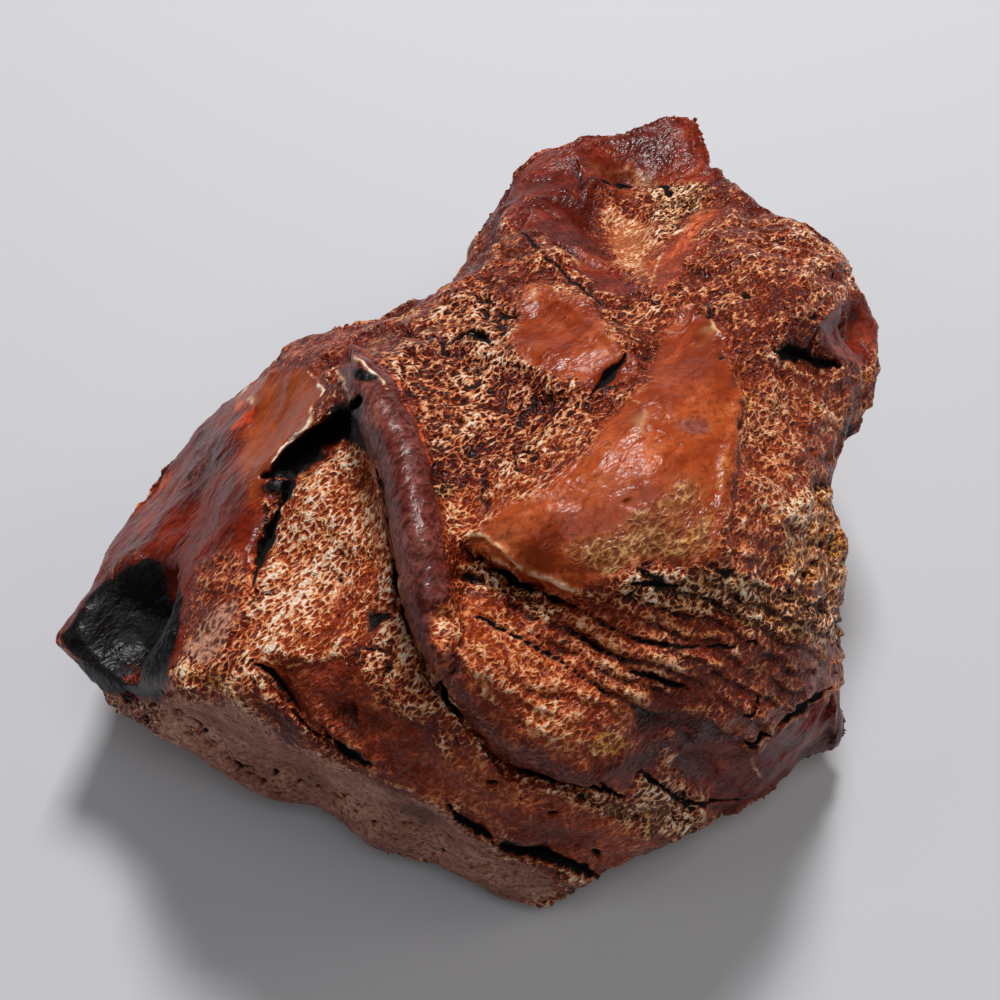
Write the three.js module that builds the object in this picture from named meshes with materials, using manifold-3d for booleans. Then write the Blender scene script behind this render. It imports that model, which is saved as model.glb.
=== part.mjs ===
// Polychrome jasper: one rough, palm-sized stone, broken along ledges, with a raised root-like rib,
// a dished notch at its far end, a scooped hollow at its left tip and open cracks between its layers.
// Units are millimetres and +Z is up. The origin is on the flat spot that the stone rests on, under the
// middle of its box.
import * as THREE from "three";
import { ConvexHull } from "three/addons/math/ConvexHull.js";
import { ImprovedNoise } from "three/addons/math/ImprovedNoise.js";
import { mergeVertices } from "three/addons/utils/BufferGeometryUtils.js";
import Module from "manifold-3d";

const wasm = await Module();
wasm.setup();

// The eye that sees the stone from the front and above. Its distance sets the stone's real size.
const eye = {
  frame: 1000, // side of its square picture, in pixels
  focal: 1200, // focal length, in pixels
  tilt: THREE.MathUtils.degToRad(54), // of the line of sight below the horizon
  distance: 140, // to the plane that the stone rests on, along the line of sight
};

// Edge lengths of the facets: under the stone, low on its sides and above, where its relief is.
const facet = { under: 8, low: 4.4, above: 3.5, lowHeight: 11 };

// A point of the stone's surface: where the picture shows it, and its height.
function seen([px, py, height]) {
  const across = (px - eye.frame / 2) / eye.focal;
  const down = (py - eye.frame / 2) / eye.focal;
  const fall = Math.sin(eye.tilt) + down * Math.cos(eye.tilt);
  const run = Math.cos(eye.tilt) - down * Math.sin(eye.tilt);
  const reach = (eye.distance * Math.sin(eye.tilt) - height) / fall;
  return new THREE.Vector3(
    reach * across,
    reach * run - eye.distance * Math.cos(eye.tilt),
    height,
  );
}

// Surface points, as [picture x, picture y, height in mm], feature by feature.
const rimFar = [
  [668, 103, 25], [706, 101, 25], [716, 125, 25], [728, 165, 26], [746, 205, 28], [790, 218, 27],
  [838, 238, 26], [856, 262, 26], [866, 298, 25], [884, 328, 25], [885, 352, 25], [874, 390, 25],
  [871, 420, 22], [630, 115, 25], [585, 128, 25], [530, 145, 24], [508, 165, 24], [500, 197, 25],
  [475, 212, 24], [470, 235, 25], [455, 265, 25], [420, 285, 25], [385, 312, 26], [345, 322, 26],
  [300, 332, 24], [272, 345, 22], [265, 365, 21],
];
const rimLeft = [
  [240, 378, 18], [185, 425, 15], [150, 460, 14], [115, 505, 13], [90, 560, 13], [72, 600, 14],
  [52, 632, 15], [50, 650, 15],
];
const rimFront = [
  [76, 677, 13], [94, 692, 12], [102, 711, 11], [119, 726, 10], [147, 736, 9], [165, 748, 8],
  [192, 761, 7], [219, 774, 6], [242, 786, 5.5], [261, 802, 5], [281, 808, 4.5], [310, 800, 5],
  [335, 825, 4], [365, 855, 3], [410, 865, 3], [450, 882, 2.5], [490, 900, 2], [515, 909, 1.5],
  [545, 909, 2], [575, 902, 3], [608, 880, 6],
];
const rimRight = [
  [640, 860, 7], [676, 843, 7], [719, 827, 5], [749, 825, 4], [766, 816, 3.5], [784, 797, 4],
  [826, 770, 3], [854, 751, 3], [857, 728, 5], [852, 690, 7], [851, 665, 9], [855, 625, 12],
  [850, 598, 14.5], [842, 570, 17.5], [849, 548, 20], [848, 535, 22], [838, 500, 22], [838, 482, 17],
];
const wallEdge = [
  [170, 689, 24], [213, 679, 27], [254, 701, 27], [305, 737, 25], [366, 763, 24], [420, 780, 23],
  [452, 804, 21], [478, 832, 19], [503, 845, 18], [534, 850, 16.5], [562, 858, 13.5],
];
const tip = [
  [72, 636, 17], [100, 650, 18.5], [130, 666, 20.5], [162, 688, 23], [168, 720, 16],
  [82, 664, 14.5], [122, 692, 16], [145, 712, 15],
];
const hollow = [
  [100, 575, 17], [130, 560, 20.5], [160, 572, 23.5], [174, 600, 25], [170, 648, 24.5],
  [130, 610, 20.5],
];
const cheek = [
  [245, 388, 23], [300, 373, 27], [180, 470, 20], [230, 440, 25], [275, 415, 29], [316, 388, 31.5],
  [303, 425, 31.5], [270, 463, 30], [332, 402, 29.5],
  [150, 520, 19], [200, 510, 23.5], [245, 495, 28], [110, 555, 15.5], [180, 560, 23],
  [225, 560, 27], [200, 620, 26], [185, 660, 26], [235, 640, 27.5], [255, 560, 29.5],
];
const gritField = [
  [290, 490, 29], [345, 455, 30], [365, 510, 31], [285, 560, 28.5], [330, 600, 29.5],
  [385, 610, 30.5], [280, 630, 28], [340, 640, 29],
];
const lowerStrip = [
  [258, 655, 28.5], [300, 664, 29], [350, 652, 30], [402, 625, 30.5], [300, 700, 27.5],
  [350, 705, 28], [410, 690, 29.5], [380, 745, 26.5], [430, 755, 26.5], [475, 790, 25],
  [520, 815, 23], [570, 825, 20.5], [610, 845, 16], [640, 832, 14], [680, 828, 10],
];
const ribCrest = [
  [350, 368, 36], [368, 410, 37], [388, 458, 37.6], [401, 510, 37.8], [410, 560, 37.4],
  [422, 606, 36.6], [437, 645, 35.8],
  [366, 364, 37.4], [385, 406, 38.5], [405, 454, 39], [417, 510, 39.2], [424, 560, 38.8],
  [432, 608, 37.8], [446, 650, 36.6],
  [381, 362, 36.6], [402, 404, 37.6], [422, 450, 38.1], [432, 508, 38.3], [437, 560, 37.9],
  [443, 610, 37], [458, 672, 35.5], [484, 712, 33], [526, 746, 30.5], [575, 768, 28],
  [618, 786, 26],
];
const ribFootLeft = [
  [342, 378, 32], [355, 420, 30.5], [375, 470, 30.8], [389, 525, 31.2], [399, 580, 31.2],
  [412, 622, 31], [428, 662, 30.3], [445, 695, 29.5], [480, 738, 27.5], [528, 780, 25],
  [592, 794, 22.5],
];
const ribFootRight = [
  [400, 356, 34.2], [420, 400, 35.4], [440, 448, 35.8], [450, 505, 36], [454, 558, 35.6],
  [460, 612, 34.8],
];
const margin = [
  [300, 348, 26], [340, 340, 29], [380, 330, 31], [405, 315, 30.5], [435, 298, 30],
  [470, 270, 29.5], [495, 235, 28.5],
];
const roughField = [
  [450, 350, 34], [500, 315, 32], [470, 400, 35.5], [530, 412, 35.5], [485, 460, 36],
  [560, 450, 37], [500, 495, 36], [640, 330, 33.5], [662, 350, 34.5],
];
const tile = [
  [522, 288, 33.5], [575, 300, 35.5], [612, 335, 36.5], [638, 368, 37.5], [600, 390, 38],
  [560, 384, 38], [513, 347, 36.5], [508, 372, 34.5], [560, 398, 35.5], [604, 404, 36],
  [650, 372, 35.5], [590, 296, 33.5], [550, 276, 32.5],
];
const farBlock = [
  [540, 165, 26.5], [590, 143, 26], [650, 126, 25.5], [690, 124, 25.5], [708, 180, 26.5],
  [602, 172, 24], [640, 182, 23], [685, 180, 24], [640, 152, 24], [575, 185, 26.5],
];
const notch = [
  [515, 205, 28.5], [560, 242, 32], [605, 275, 34], [650, 297, 34.5], [735, 215, 30.5],
  [700, 250, 33], [672, 285, 34.5], [592, 218, 25.5], [618, 256, 26.5], [646, 276, 29],
  [640, 208, 23], [686, 206, 25], [664, 240, 27.5],
];
const rightLump = [
  [790, 235, 30.5], [830, 252, 30], [850, 290, 30.5], [815, 275, 36], [795, 305, 37.5],
  [835, 325, 34], [865, 335, 29.5], [755, 255, 32.5], [735, 300, 35], [700, 305, 35],
  [725, 342, 37], [780, 338, 36.5], [790, 357, 34], [835, 362, 30.5], [868, 370, 27.5],
];
const rightSlope = [
  [785, 400, 35], [830, 400, 31], [858, 412, 27], [750, 450, 37], [800, 455, 34],
  [838, 450, 28], [760, 520, 35.5], [800, 520, 33], [833, 520, 27.5], [835, 560, 22],
  [790, 565, 31], [815, 600, 25],
];
const dome = [
  [690, 315, 34.5], [712, 365, 38], [725, 410, 38.5], [680, 385, 39.5], [640, 415, 40.5],
  [600, 460, 40.5], [550, 490, 39.5], [500, 518, 38], [655, 470, 40], [700, 450, 39],
  [716, 505, 38], [722, 555, 36.5], [650, 520, 38.5], [600, 545, 38], [468, 540, 36.5],
  [522, 550, 37.5], [560, 578, 37], [610, 592, 36], [660, 566, 36.5], [745, 570, 35.5],
];
const scarpFoot = [
  [470, 556, 33], [520, 578, 32.5], [560, 602, 32.5], [612, 612, 32.5], [662, 590, 33.5],
  [742, 592, 32.5],
];
const layers = [
  [490, 600, 34], [545, 630, 33], [600, 655, 32], [650, 680, 30.5], [705, 700, 28.5],
  [765, 705, 25.5], [815, 700, 21], [700, 640, 31.5], [760, 640, 29.5], [808, 640, 25.5],
  [828, 618, 20.5], [645, 635, 32.5], [832, 670, 18],
];
const plate = [
  [462, 640, 35], [510, 662, 34], [560, 690, 32.5], [600, 705, 31.5], [632, 702, 31],
  [510, 705, 32.5], [560, 735, 30.5], [600, 750, 28.5], [632, 770, 25.5],
];
const plateFoot = [
  [642, 712, 28], [642, 750, 24.5], [640, 790, 19], [636, 812, 17],
];
const brokenEnd = [
  [690, 725, 26.5], [755, 732, 23.5], [665, 752, 23.5], [700, 757, 20], [735, 765, 17.5],
  [758, 785, 12], [690, 795, 15.5], [715, 810, 9.5], [745, 812, 6.5], [750, 755, 20],
  [800, 722, 19], [832, 690, 15.5], [790, 778, 9.5], [818, 745, 11.5], [840, 712, 10.5],
];

// The side that the picture doesn't show, and the flat spot that the stone rests on, as [x, y, z].
const hiddenSide = [
  [36, -3, 13], [31, -6, 3], [37, 5, 15], [33, 4, 5], [35, 13, 16], [31, 11, 5], [29, 19, 16],
  [25, 17, 4], [26, 27, 15], [22, 25, 6], [25, 38, 16], [22, 33, 8], [16, 37, 14], [15, 30, 4],
  [7, 34, 13], [6, 26, 3], [0, 24, 13], [1, 19, 4], [-5, 14, 14], [-3, 12, 3], [-12, 7, 15],
  [-9, 7, 4], [-21, 5, 13], [-17, 2, 3], [-28, 1, 11], [-24, -5, 4], [-34, -8, 8], [-29, -13, 3],
  [-38, -18, 8], [-30, -23, 3], [-37, -27, 9], [-24, -33, 2], [33, -14, 8], [31, -26, 2],
];
const restingFace = [
  [-22, -20, 0], [-16, -4, 0], [-5, 6, 0], [4, 20, 0], [18, 23, 0], [26, 9, 0], [27, -10, 0],
  [26, -28, 0], [8, -40, 0], [-8, -38, 0], [-18, -33, 0],
];

// A place inside the stone that faces all of its surface.
const core = new THREE.Vector3(2, 7, 4);

const controlPoints = [
  ...[rimFar, rimLeft, rimFront, rimRight, wallEdge, tip, hollow, cheek, gritField, lowerStrip,
    ribCrest, ribFootLeft, ribFootRight, margin, roughField, tile, farBlock, notch, rightLump,
    rightSlope, dome, scarpFoot, layers, plate, plateFoot, brokenEnd].flat().map(seen),
  ...[hiddenSide, restingFace].flat().map((p) => new THREE.Vector3(...p)),
];

const controlCount = controlPoints.length;

// The triangles between the control points: the hull of their directions from the core.
function triangulate(points) {
  const directions = points.map((p, index) => {
    const direction = p.clone().sub(core).normalize();
    direction.index = index;
    return direction;
  });
  return new ConvexHull().setFromPoints(directions).faces.map(({ edge }) => [
    edge.tail().point.index,
    edge.head().point.index,
    edge.next.head().point.index,
  ]);
}

// Splits each edge that is longer than its place allows, until none is. New points join the list.
function refine(points, triangles) {
  for (;;) {
    const middles = new Map();
    const middle = (a, b) => {
      const key = Math.min(a, b) * 1e6 + Math.max(a, b);
      if (!middles.has(key)) {
        const place = points[a].clone().lerp(points[b], 0.5);
        const long = points[a].distanceTo(points[b]) > allowedEdge(place);
        middles.set(key, long ? points.push(place) - 1 : undefined);
      }
      return middles.get(key);
    };
    const before = points.length;
    triangles = triangles.flatMap(([a, b, c]) => {
      const cuts = [middle(a, b), middle(b, c), middle(c, a)];
      const count = cuts.filter((m) => m !== undefined).length;
      if (count === 0) return [[a, b, c]];
      // Turned so that the uncut corner, if there is one, comes last.
      while (count < 3 && (cuts[0] === undefined || (count === 2 && cuts[1] === undefined))) {
        [a, b, c] = [b, c, a];
        cuts.push(cuts.shift());
      }
      const [ab, bc, ca] = cuts;
      if (count === 1) return [[a, ab, c], [ab, b, c]];
      if (count === 2) return [[ab, b, bc], [a, ab, bc], [a, bc, c]];
      return [[a, ab, ca], [ab, b, bc], [ca, bc, c], [ab, bc, ca]];
    });
    if (points.length === before) return triangles;
  }
}

function allowedEdge(place) {
  if (place.z < 1) return facet.under;
  return place.z < facet.lowHeight ? facet.low : facet.above;
}

// How far one round of relaxing draws a control point, and any other, to its neighbours' middle.
const drawn = { control: 0.1, other: 0.45 };

// Rounds the folds between the flat faces. The outline and the ridges nearly keep their place.
function relax(points, triangles, rounds) {
  const neighbours = points.map(() => new Set());
  for (const [a, b, c] of triangles) {
    neighbours[a].add(b).add(c);
    neighbours[b].add(a).add(c);
    neighbours[c].add(a).add(b);
  }
  for (let round = 0; round < rounds; round++) {
    const middles = neighbours.map((near) => {
      const sum = new THREE.Vector3();
      for (const n of near) sum.add(points[n]);
      return sum.divideScalar(near.size);
    });
    points.forEach((p, n) => {
      if (p.z > 0) p.lerp(middles[n], n < controlCount ? drawn.control : drawn.other);
    });
  }
}

// The least height above the resting plane of what isn't part of the flat spot.
const clearance = 0.3;

// Uneven breakage, from broad swells to small lumps: [wavelength, height] in mm.
const breakage = [[13, 0.8], [6, 0.5], [3, 0.25]];

// Dished scars where shell-like flakes came off: a point of the surface, radius and depth in mm.
const scars = [
  [[130, 605, 21], 6, 1.6], [[614, 235, 25], 5, 1.2], [[632, 165, 24], 5.5, 1.2],
  [[850, 335, 27], 4.5, 1.6], [[262, 418, 27], 6, 0.9], [[192, 505, 22], 7, 0.9],
  [[357, 722, 28], 3.5, 1.2], [[560, 335, 35], 5, 0.7], [[782, 430, 35.5], 6, 1],
  [[315, 560, 29], 7, 0.9], [[300, 790, 12], 7, 1.2], [[200, 740, 16], 6, 1],
  [[400, 830, 12], 7, 1.1], [[500, 870, 12], 5, 1], [[720, 795, 14], 6, 1.3],
  [[560, 660, 33], 4, 0.6], [[430, 250, 28], 5, 0.8],
].map(([at, radius, depth]) => [seen(at), radius, depth]);

// The same on the side that the picture doesn't show, as [x, y, z].
const hiddenScars = [
  [[35, 4, 12], 9, 1.5], [[34, 16, 18], 7, 1.3], [[27, 30, 16], 8, 1.4], [[16, 37, 12], 7, 1.4],
  [[5, 32, 16], 8, 1.6], [[-2, 18, 12], 9, 1.6], [[-12, 12, 20], 7, 1.3], [[-22, 5, 14], 9, 1.6],
  [[-34, -8, 14], 8, 1.4], [[34, -12, 18], 8, 1.3], [[33, -24, 10], 7, 1.2],
].map(([at, radius, depth]) => [new THREE.Vector3(...at), radius, depth]);

// How far the breakage and the scars move a point of the surface outwards.
function rise(p, noise) {
  const swell = breakage.reduce(
    (sum, [wave, height]) => sum + height * noise.noise(p.x / wave, p.y / wave, p.z / wave), 0);
  const dished = ([at, radius, depth]) =>
    depth * Math.max(0, 1 - p.distanceToSquared(at) / radius ** 2);
  return swell - [...scars, ...hiddenScars].reduce((sum, scar) => sum + dished(scar), 0);
}

function roughen(geometry) {
  geometry.computeVertexNormals();
  const place = geometry.getAttribute("position");
  const normal = geometry.getAttribute("normal");
  const noise = new ImprovedNoise();
  const p = new THREE.Vector3();
  const out = new THREE.Vector3();
  for (let n = 0; n < place.count; n++) {
    p.fromBufferAttribute(place, n);
    if (p.z === 0) continue;
    p.addScaledVector(out.fromBufferAttribute(normal, n), rise(p, noise));
    place.setXYZ(n, p.x, p.y, Math.max(p.z, clearance));
  }
}

// Open cracks: what the picture shows of each, its width and its depth into the stone, in mm.
const cracks = [
  { width: 1.3, depth: 4, at: [[383, 470], [392, 530], [403, 600], [418, 640], [436, 678],
    [454, 702], [472, 724], [500, 756], [516, 772], [545, 780], [582, 785], [622, 797]] },
  { width: 1, depth: 3.5, at: [[246, 660], [268, 674], [287, 692], [305, 718], [328, 738],
    [351, 754], [370, 762]] },
  { width: 1, depth: 3.5, at: [[450, 800], [465, 819], [480, 833], [503, 844], [534, 850],
    [562, 858], [582, 868], [604, 878]] },
  { width: 3.4, depth: 5, at: [[358, 404], [340, 428], [316, 445], [290, 460], [264, 476]] },
  { width: 1, depth: 3, at: [[296, 462], [280, 500], [268, 535], [256, 565], [250, 592]] },
  { width: 1.1, depth: 4, at: [[455, 541], [480, 556], [505, 576], [537, 586], [575, 603]] },
  { width: 0.8, depth: 3, at: [[570, 633], [591, 642], [612, 654]] },
  { width: 0.8, depth: 3, at: [[632, 672], [661, 680], [692, 691]] },
  { width: 0.9, depth: 3, at: [[590, 396], [608, 372], [628, 352]] },
  { width: 0.9, depth: 3, at: [[452, 346], [472, 333], [496, 343]] },
  { width: 1.2, depth: 3.5, at: [[778, 346], [802, 355], [840, 368]] },
  { width: 0.9, depth: 3.5, at: [[748, 752], [772, 732], [797, 713], [828, 689]] },
  { width: 1, depth: 2.5, at: [[744, 716], [754, 708], [765, 699]] },
];

// Where the picture's pixel meets the surface, and the line of sight there.
function sighted(pixel, surface) {
  const [high, low] = [60, 0].map((height) => seen([...pixel, height]));
  const sight = low.sub(high).normalize();
  const [hit] = new THREE.Raycaster(high, sight).intersectObject(surface);
  return { place: hit.point, sight };
}

// A closed solid from corners and triangles, turned to face outwards.
function solid(points, triangles) {
  const made = new wasm.Manifold(new wasm.Mesh({
    numProp: 3,
    vertProperties: new Float32Array(points.flatMap((p) => p.toArray())),
    triVerts: new Uint32Array(triangles.flat()),
  }));
  return made.volume() > 0 ? made : solid(points, triangles.map(([a, b, c]) => [a, c, b]));
}

// A thin wedge that follows a crack and runs into the stone along the line of sight. It starts a
// little above the surface, by lift, and its two end points lie on the surface.
function wedge({ width, depth, at }, surface) {
  const lift = 1.2;
  const stations = at.map((pixel) => sighted(pixel, surface));
  const inner = stations.slice(1, -1);
  const points = inner.flatMap(({ place, sight }, n) => {
    const run = stations[n + 2].place.clone().sub(stations[n].place);
    const side = run.cross(sight).setLength((width / 2) * (1 + lift / depth));
    const top = place.clone().addScaledVector(sight, -lift);
    return [
      top.clone().add(side),
      top.clone().sub(side),
      place.clone().addScaledVector(sight, depth),
    ];
  });
  points.push(stations[0].place, stations[stations.length - 1].place);
  const [start, end] = [points.length - 2, points.length - 1];
  const last = points.length - 5;
  const triangles = [0, 1, 2].flatMap((k) => {
    const next = (k + 1) % 3;
    const sides = inner.slice(1).flatMap((_, n) => {
      const [a, b, c, d] = [3 * n + k, 3 * n + next, 3 * n + 3 + k, 3 * n + 3 + next];
      return [[a, b, d], [a, d, c]];
    });
    return [[start, next, k], ...sides, [end, last + k, last + next]];
  });
  return solid(points, triangles);
}

// The hollow at the left tip: [picture x, y, radius, how far its middle lies outside the stone, in mm].
const tipHollow = [126, 618, 5.9, 1.5];

// Open pits along the foot of the front wall and in the rough ground: [picture x, y, radius in mm].
const pits = [
  [128, 702, 1.2], [180, 716, 0.9], [193, 734, 1.1], [213, 744, 0.7], [247, 773, 1.1],
  [260, 781, 0.7], [338, 797, 1], [420, 846, 0.8], [552, 815, 1], [830, 548, 1.3], [806, 575, 1],
];

// A faceted ball to cut with. Its middle is a little under the surface, or a given distance outside.
function hole([px, py, radius, outside = -0.15 * radius], detail, surface) {
  const { place, sight } = sighted([px, py], surface);
  const middle = place.addScaledVector(sight, -outside);
  const ball = new THREE.IcosahedronGeometry(radius, detail).translate(...middle);
  ball.deleteAttribute("normal").deleteAttribute("uv");
  const { index, attributes } = mergeVertices(ball);
  const corners = Array.from({ length: attributes.position.count }, (_, n) =>
    new THREE.Vector3().fromBufferAttribute(attributes.position, n));
  const faces = Array.from({ length: index.count / 3 }, (_, n) =>
    [0, 1, 2].map((k) => index.getX(3 * n + k)));
  return solid(corners, faces);
}

function buildStone() {
  const points = [...controlPoints];
  const triangles = refine(points, triangulate(points));
  relax(points, triangles, 3);
  const skin = new THREE.BufferGeometry().setFromPoints(points).setIndex(triangles.flat());
  roughen(skin);
  const surface = new THREE.Mesh(skin);
  const place = skin.getAttribute("position");
  points.forEach((p, n) => p.fromBufferAttribute(place, n));

  let stone = solid(points, triangles);
  for (const crack of cracks) stone = stone.subtract(wedge(crack, surface));
  stone = stone.subtract(hole(tipHollow, 1, surface));
  for (const pit of pits) stone = stone.subtract(hole(pit, 0, surface));

  const { vertProperties, triVerts } = stone.getMesh();
  const geometry = new THREE.BufferGeometry()
    .setAttribute("position", new THREE.BufferAttribute(vertProperties, 3))
    .setIndex(new THREE.BufferAttribute(triVerts, 1));
  geometry.computeBoundingBox();
  const middle = geometry.boundingBox.getCenter(new THREE.Vector3());
  return geometry.translate(-middle.x, -middle.y, 0);
}

const jasper = new THREE.Mesh(
  buildStone(),
  new THREE.MeshStandardMaterial({ color: 0x7a2c1e, roughness: 0.45 }),
);
jasper.name = "jasper";

export default new THREE.Group().add(jasper);
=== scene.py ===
import bpy
import itertools
import math
import numpy as np
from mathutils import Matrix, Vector


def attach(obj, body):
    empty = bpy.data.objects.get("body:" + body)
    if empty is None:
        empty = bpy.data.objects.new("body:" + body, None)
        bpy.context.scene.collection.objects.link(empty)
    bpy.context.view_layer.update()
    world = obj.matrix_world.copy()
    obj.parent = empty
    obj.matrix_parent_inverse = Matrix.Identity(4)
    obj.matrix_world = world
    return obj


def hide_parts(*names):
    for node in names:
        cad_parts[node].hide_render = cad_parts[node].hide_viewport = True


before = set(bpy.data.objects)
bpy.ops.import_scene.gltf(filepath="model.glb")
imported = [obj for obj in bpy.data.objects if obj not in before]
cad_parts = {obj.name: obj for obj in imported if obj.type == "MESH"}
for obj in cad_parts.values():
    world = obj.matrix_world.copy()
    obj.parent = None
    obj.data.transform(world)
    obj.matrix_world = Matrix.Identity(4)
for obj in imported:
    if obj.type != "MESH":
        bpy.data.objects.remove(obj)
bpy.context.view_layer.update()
bpy.ops.object.select_all(action="DESELECT")
print("frame loaded")


# Camera: it looks down on the stone from the front, and the marks on the stone are placed in its picture
eye = {
    "focal": 1200,        # in pixels of a picture 1000 pixels wide
    "tilt": 54,           # degrees below the horizon
    "distance": 140,      # mm to the resting plane, along the line of sight
    "aim": (1.54, 3.62),  # mm, where the line of sight meets the resting plane
    "sensor": 36,         # mm
    "middle": 500,        # pixels, the picture's middle both ways
}
tilt = math.radians(eye["tilt"])
sight = np.array([0, math.cos(tilt), -math.sin(tilt)])
downward = np.array([0, -math.sin(tilt), -math.cos(tilt)])
eyePlace = np.array([*eye["aim"], 0]) - eye["distance"] * sight
pixelsPerMm = 9.2  # on the stone, on average

bpy.ops.object.camera_add(location=eyePlace / 1000, rotation=(math.pi / 2 - tilt, 0, 0))
camera = bpy.context.object
camera.data.sensor_width = eye["sensor"]
camera.data.lens = eye["focal"] / 1000 * eye["sensor"]
camera.data.clip_start = 0.01
bpy.context.scene.camera = camera


# Where points of the stone, in mm, show in the picture
def inPicture(points):
    ray = points - eyePlace
    across = np.stack([ray[:, 0], ray @ downward], axis=1)
    return eye["middle"] + eye["focal"] * across / (ray @ sight)[:, None]


# From 0 to 1 as value goes from low to high
def ramp(value, low, high):
    part = np.clip((value - low) / (high - low), 0, 1)
    return part * part * (3 - 2 * part)


# Uneven swells from about -1 to 1, size mm across. Each further octave adds swells of half the size
def swells(points, size, seed, octaves=1):
    rng = np.random.default_rng(seed)
    order = rng.permutation(256)
    slopes = rng.normal(size=(256, 3))
    slopes /= np.linalg.norm(slopes, axis=1)[:, None]
    total = np.zeros(len(points))
    for octave in range(octaves):
        place = points * 2 ** octave / size + 17.3 * octave
        cell = np.floor(place).astype(int)
        inner = place - cell
        fade = inner ** 3 * (inner * (inner * 6 - 15) + 10)
        for corner in itertools.product((0, 1), repeat=3):
            at = (cell + corner) & 255
            pick = order[(order[(order[at[:, 0]] + at[:, 1]) & 255] + at[:, 2]) & 255]
            share = np.where(corner, fade, 1 - fade).prod(axis=1)
            total += share * ((inner - corner) * slopes[pick]).sum(axis=1) / 2 ** octave
    return 1.6 * total


# Sharp crests with rounded hollows between them, from about -1 to 1
def crests(points, size, seed, octaves=1):
    total = np.zeros(len(points))
    for octave in range(octaves):
        total += (1 - 2.6 * np.abs(swells(points, size / 2 ** octave, seed + octave))) / 2 ** octave
    return total


# Scattered centres, size mm apart: the distance to the nearest one in mm, how much further the next one is,
# and a number from 0 to 1 that belongs to the nearest. With lean, a centre counts as nearer on one side
def scatter(points, size, seed, lean=0.0):
    rng = np.random.default_rng(seed)
    order = rng.permutation(256)
    offsets = rng.random((256, 3))
    place = points / size
    cell = np.floor(place).astype(int)
    near = np.full(len(points), 9.0)
    second = near.copy()
    owner = np.zeros(len(points))
    for step in itertools.product((-1, 0, 1), repeat=3):
        at = cell + step
        wrapped = at & 255
        pick = order[(order[(order[wrapped[:, 0]] + wrapped[:, 1]) & 255] + wrapped[:, 2]) & 255]
        away = at + offsets[pick] - place
        gap = np.linalg.norm(away, axis=1)
        if lean:
            gap += lean * (away * (offsets[255 - pick] - 0.5)).sum(axis=1)
        second = np.minimum(second, np.maximum(near, gap))
        owner = np.where(gap < near, pick / 255, owner)
        near = np.minimum(near, gap)
    return near * size, (second - near) * size, owner


# A drawn line with its corners cut, so that few points draw a curve
def rounded(line):
    line = np.array(line, float)
    for turn in range(2):
        ends = line[:-1], line[1:]
        cut = np.stack([0.75 * ends[0] + 0.25 * ends[1], 0.25 * ends[0] + 0.75 * ends[1]], axis=1)
        line = np.concatenate([line[:1], cut.reshape(-1, 2), line[-1:]])
    return line


# From 1 on a line drawn in the picture to 0 at half its width in pixels. Its ends thin out over
# taper times the width
def stroke(picture, line, width, taper=1.5):
    line = rounded(line)
    about = (picture > line.min(0) - width) & (picture < line.max(0) + width)
    near = np.flatnonzero(about.all(axis=1))
    spot = picture[near]
    runs = np.diff(line, axis=0)
    lengths = np.hypot(*runs.T)
    starts = np.cumsum(lengths) - lengths
    distance = np.full(len(near), 1e9)
    passed = np.zeros(len(near))
    for start, run, length, before in zip(line, runs, lengths, starts):
        gap = spot - start
        reach = np.clip(gap @ run / length ** 2, 0, 1)
        away = np.hypot(*(gap - reach[:, None] * run).T)
        passed = np.where(away < distance, before + reach * length, passed)
        distance = np.minimum(distance, away)
    ends = np.minimum(passed, lengths.sum() - passed)
    half = width / 2 * (0.25 + 0.75 * ramp(ends, 0, taper * width))
    strength = np.zeros(len(picture))
    strength[near] = np.clip(1 - distance / half, 0, 1)
    return strength


# From 0 outside to 1 inside an outline drawn in the picture, over soft pixels
def inside(picture, outline, soft):
    corners = np.array(outline, float)
    about = (picture > corners.min(0) - soft) & (picture < corners.max(0) + soft)
    near = np.flatnonzero(about.all(axis=1))
    spot = picture[near]
    distance = np.full(len(near), 1e9)
    within = np.zeros(len(near), bool)
    for start, end in zip(corners, np.roll(corners, -1, axis=0)):
        run = end - start
        gap = spot - start
        reach = np.clip(gap @ run / (run @ run), 0, 1)
        distance = np.minimum(distance, np.hypot(*(gap - reach[:, None] * run).T))
        spans = (start[1] > spot[:, 1]) != (end[1] > spot[:, 1])
        crossing = start[0] + (spot[:, 1] - start[1]) * run[0] / (run[1] or 1e-9)
        within ^= spans & (spot[:, 0] < crossing)
    cover = np.zeros(len(picture))
    cover[near] = ramp(np.where(within, distance, -distance), -soft / 2, soft / 2)
    return cover


# From 0 outside to 1 in the middle of an oval drawn in the picture, turned clockwise in degrees
def oval(picture, x, y, wide, high, turn=0):
    c, s = math.cos(math.radians(turn)), math.sin(math.radians(turn))
    gap = picture - (x, y)
    reach = np.hypot((gap[:, 0] * c + gap[:, 1] * s) / wide, (gap[:, 1] * c - gap[:, 0] * s) / high)
    return 1 - ramp(reach, 0.2, 1.2)


# What the stone's surface has, each from 0 to 1:
# grit is crumbly ground instead of a smooth broken face, the pale share is cream on its crests and also
# painted highlights, warm runs from oxblood to orange brown, the crack share is painted shade inside
# cracks, holes, pits and creases, the black share is mostly painted shade in crevices and on shaded sides
# and partly near-black stone, and the rest are stains. This is the common ground, which the named grounds
# change
common = {"grit": 0.75, "creamAndHighlight": 0.45, "warm": 0.3, "mauve": 0, "olive": 0, "ochre": 0, "ember": 0,
          "blackStoneAndShade": 0, "rind": 0, "open": 0}
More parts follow.
